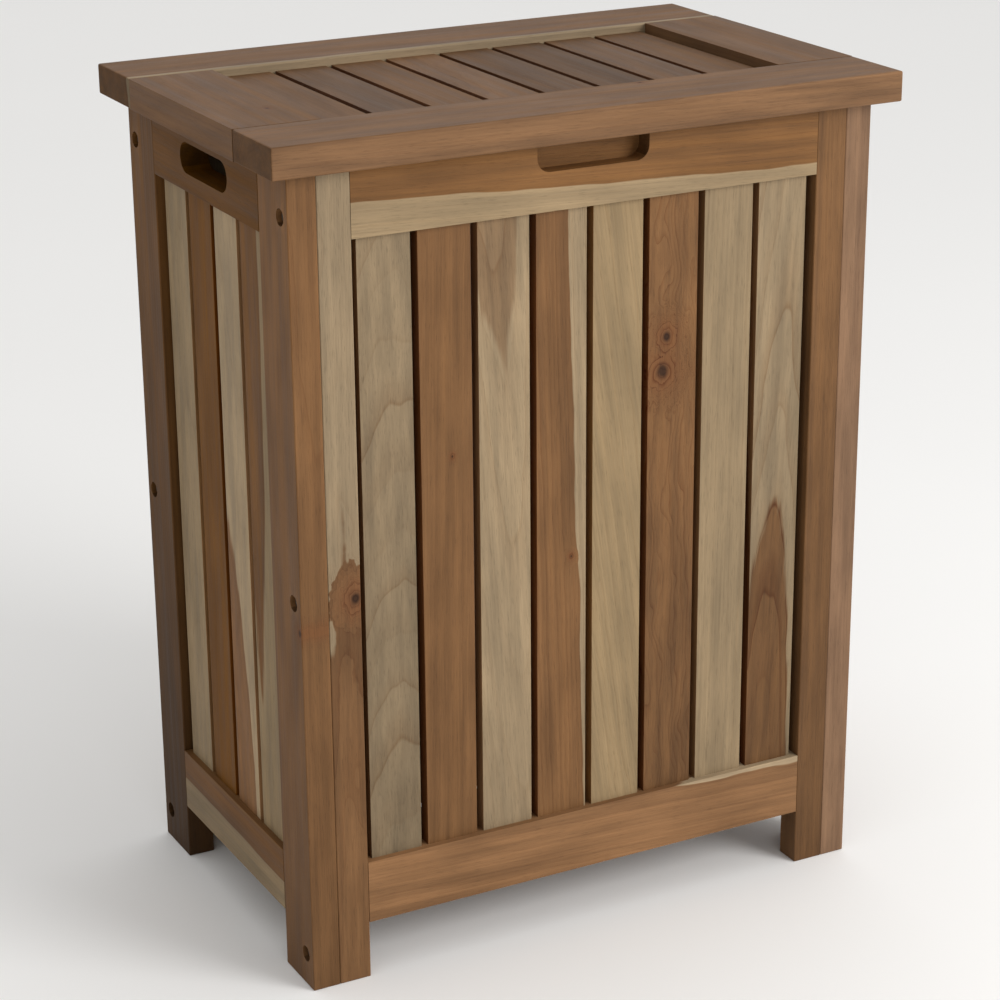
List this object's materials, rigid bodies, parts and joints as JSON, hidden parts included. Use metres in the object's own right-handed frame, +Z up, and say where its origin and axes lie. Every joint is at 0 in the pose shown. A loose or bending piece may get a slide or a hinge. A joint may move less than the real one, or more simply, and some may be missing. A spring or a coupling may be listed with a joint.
{
  "type": "laundry hamper with lid",
  "caption": "Free-standing slatted teak laundry hamper with a hinged slatted lid, hand holes in both sides and a finger notch under the front of the lid.",
  "frame": {"origin": "on the floor under the middle of the lid, which is the middle of the hamper's outer box", "axes": "+Z up, front faces -Y, +X to the right as seen from the front"},
  "size_m": [0.49, 0.316, 0.622],
  "materials": {
    "teak_heartwood": "satin oiled",
    "teak_sapwood": "satin oiled",
    "brass": "satin"
  },
  "bodies": {
    "hamper": {"front_top_rail": "teak_heartwood", "front_bottom_rail": "teak_heartwood", "front_left_stile": "teak_heartwood", "front_right_stile": "teak_heartwood", "front_slat_1": "teak_sapwood", "front_slat_2": "teak_heartwood", "front_slat_3": "teak_sapwood", "front_slat_4": "teak_heartwood", "front_slat_5": "teak_sapwood", "front_slat_6": "teak_heartwood", "front_slat_7": "teak_sapwood", "front_slat_8": "teak_heartwood", "back_top_rail": "teak_heartwood", "back_bottom_rail": "teak_heartwood", "back_left_stile": "teak_heartwood", "back_right_stile": "teak_heartwood", "back_slat_1": "teak_heartwood", "back_slat_2": "teak_sapwood", "back_slat_3": "teak_heartwood", "back_slat_4": "teak_sapwood", "back_slat_5": "teak_heartwood", "back_slat_6": "teak_sapwood", "back_slat_7": "teak_heartwood", "back_slat_8": "teak_sapwood", "left_top_rail": "teak_heartwood", "left_bottom_rail": "teak_heartwood", "left_front_leg": "teak_heartwood", "left_back_leg": "teak_heartwood", "left_slat_1": "teak_sapwood", "left_slat_2": "teak_heartwood", "left_slat_3": "teak_sapwood", "left_slat_4": "teak_heartwood", "right_top_rail": "teak_heartwood", "right_bottom_rail": "teak_heartwood", "right_front_leg": "teak_heartwood", "right_back_leg": "teak_heartwood", "right_slat_1": "teak_sapwood", "right_slat_2": "teak_heartwood", "right_slat_3": "teak_sapwood", "right_slat_4": "teak_heartwood", "slatted_floor": "teak_heartwood", "left_hinge_body_leaf": "brass", "left_hinge_pin": "brass", "right_hinge_body_leaf": "brass", "right_hinge_pin": "brass"},
    "lid": {"lid_front_rail": "teak_heartwood", "lid_back_rail": "teak_heartwood", "lid_left_rail": "teak_heartwood", "lid_right_rail": "teak_heartwood", "lid_slat_1": "teak_heartwood", "lid_slat_2": "teak_heartwood", "lid_slat_3": "teak_heartwood", "lid_slat_4": "teak_heartwood", "lid_slat_5": "teak_heartwood", "lid_slat_6": "teak_heartwood", "lid_slat_7": "teak_heartwood", "lid_slat_8": "teak_heartwood", "left_hinge_lid_leaf": "brass", "right_hinge_lid_leaf": "brass"}
  },
  "joints": [
    {"name": "lid_hinge", "type": "hinge", "parent": "hamper", "child": "lid", "pos_m": [0, 0.1465, 0.6], "axis": [-1, 0, 0], "range_deg": [0, 105]}
  ]
}
